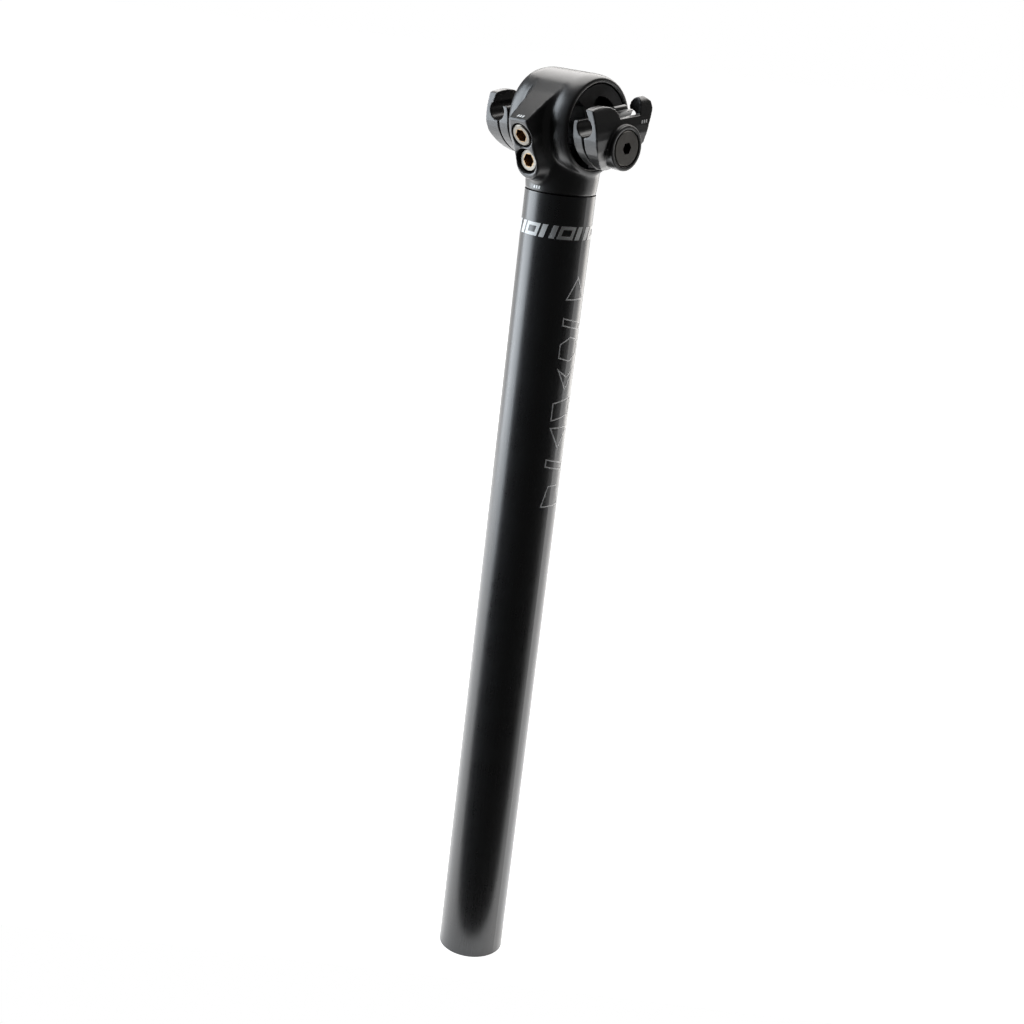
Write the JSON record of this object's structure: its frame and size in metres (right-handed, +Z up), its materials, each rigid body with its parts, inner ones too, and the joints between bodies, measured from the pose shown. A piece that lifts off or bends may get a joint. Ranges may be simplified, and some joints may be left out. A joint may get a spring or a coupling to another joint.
{
  "type": "seatpost",
  "caption": "Straight round bicycle seatpost; a cross-barrel head grips the saddle rails in side clamps, and a drum in the barrel, set by front screws, tilts the saddle.",
  "frame": {"origin": "on the shaft axis at the joint between shaft tube and head (z = 0)", "axes": "+Z up the shaft towards the saddle, -Y towards the two angle screws, X along the cross barrel from clamp to clamp"},
  "size_m": [0.0592, 0.0472, 0.3719],
  "materials": {
    "shaft_black": "satin black anodised aluminium tube",
    "head_black": "satin black anodised forging",
    "jaw_black": "satin black anodised aluminium",
    "drum_grey": "dark grey anodised, turned",
    "nut_steel": "plain turned steel",
    "bush_steel": "plain turned steel",
    "pin_steel": "ground steel",
    "washer_steel": "plain steel",
    "bolt_dark": "dark machined steel",
    "screw_chrome": "bright plated steel",
    "pad_brass": "plain turned brass"
  },
  "bodies": {
    "post": {"shaft_tube": "shaft_black", "head_forging": "head_black", "upper_thread_bush": "bush_steel", "lower_thread_bush": "bush_steel"},
    "cradle": {"drum": "drum_grey", "cross_nut": "nut_steel", "inner_jaw_left": "jaw_black", "inner_jaw_right": "jaw_black", "locating_pins_left": "pin_steel", "locating_pins_right": "pin_steel"},
    "right_jaw": {"outer_jaw_right": "jaw_black", "clamp_washer_right": "washer_steel"},
    "right_bolt": {"clamp_bolt_right": "bolt_dark"},
    "left_jaw": {"outer_jaw_left": "jaw_black", "clamp_washer_left": "washer_steel"},
    "left_bolt": {"clamp_bolt_left": "bolt_dark"},
    "upper_pad": {"upper_thrust_pad": "pad_brass"},
    "upper_screw": {"upper_angle_screw": "screw_chrome"},
    "lower_pad": {"lower_thrust_pad": "pad_brass"},
    "lower_screw": {"lower_angle_screw": "screw_chrome"}
  },
  "joints": [
    {"name": "saddle_tilt", "type": "hinge", "parent": "post", "child": "cradle", "pos_m": [0, 0, 0.0262], "axis": [1, 0, 0], "range_deg": [-12, 12]},
    {"name": "upper_screw_travel", "type": "slide", "parent": "post", "child": "upper_pad", "axis": [0, 0.891, 0.454], "range_m": [-0.00138, 0.00138]},
    {"name": "upper_screw_turn", "type": "hinge", "parent": "upper_pad", "child": "upper_screw", "pos_m": [0, -0.0255, 0.0204], "axis": [0, 0.891, 0.454], "range_deg": [-630, 630]},
    {"name": "lower_screw_travel", "type": "slide", "parent": "post", "child": "lower_pad", "axis": [0, 0.9848, 0.1736], "range_m": [-0.00235, 0.00235]},
    {"name": "lower_screw_turn", "type": "hinge", "parent": "lower_pad", "child": "lower_screw", "pos_m": [0, -0.0213, 0.0114], "axis": [0, 0.9848, 0.1736], "range_deg": [-1060, 1060]},
    {"name": "right_bolt_turn", "type": "hinge", "parent": "right_jaw", "child": "right_bolt", "pos_m": [0.0296, 0.00004, 0.02049], "axis": [1, 0, 0], "range_deg": [0, 1262]},
    {"name": "right_jaw_slide", "type": "slide", "parent": "cradle", "child": "right_jaw", "axis": [1, 0, 0], "range_m": [0, 0.0035]},
    {"name": "left_bolt_turn", "type": "hinge", "parent": "left_jaw", "child": "left_bolt", "pos_m": [-0.0296, 0.00004, 0.02049], "axis": [-1, 0, 0], "range_deg": [0, 1262]},
    {"name": "left_jaw_slide", "type": "slide", "parent": "cradle", "child": "left_jaw", "axis": [-1, 0, 0], "range_m": [0, 0.0035]}
  ],
  "couplings": [
    {"joint": "upper_screw_travel", "follows": "saddle_tilt", "m_per_rad": -0.0064089},
    {"joint": "upper_screw_turn", "follows": "saddle_tilt", "ratio": -50.336},
    {"joint": "lower_screw_travel", "follows": "saddle_tilt", "m_per_rad": 0.010876},
    {"joint": "lower_screw_turn", "follows": "saddle_tilt", "ratio": 85.423},
    {"joint": "right_bolt_turn", "follows": "right_jaw_slide", "rad_per_m": 6283.2},
    {"joint": "left_bolt_turn", "follows": "left_jaw_slide", "rad_per_m": 6283.2}
  ]
}
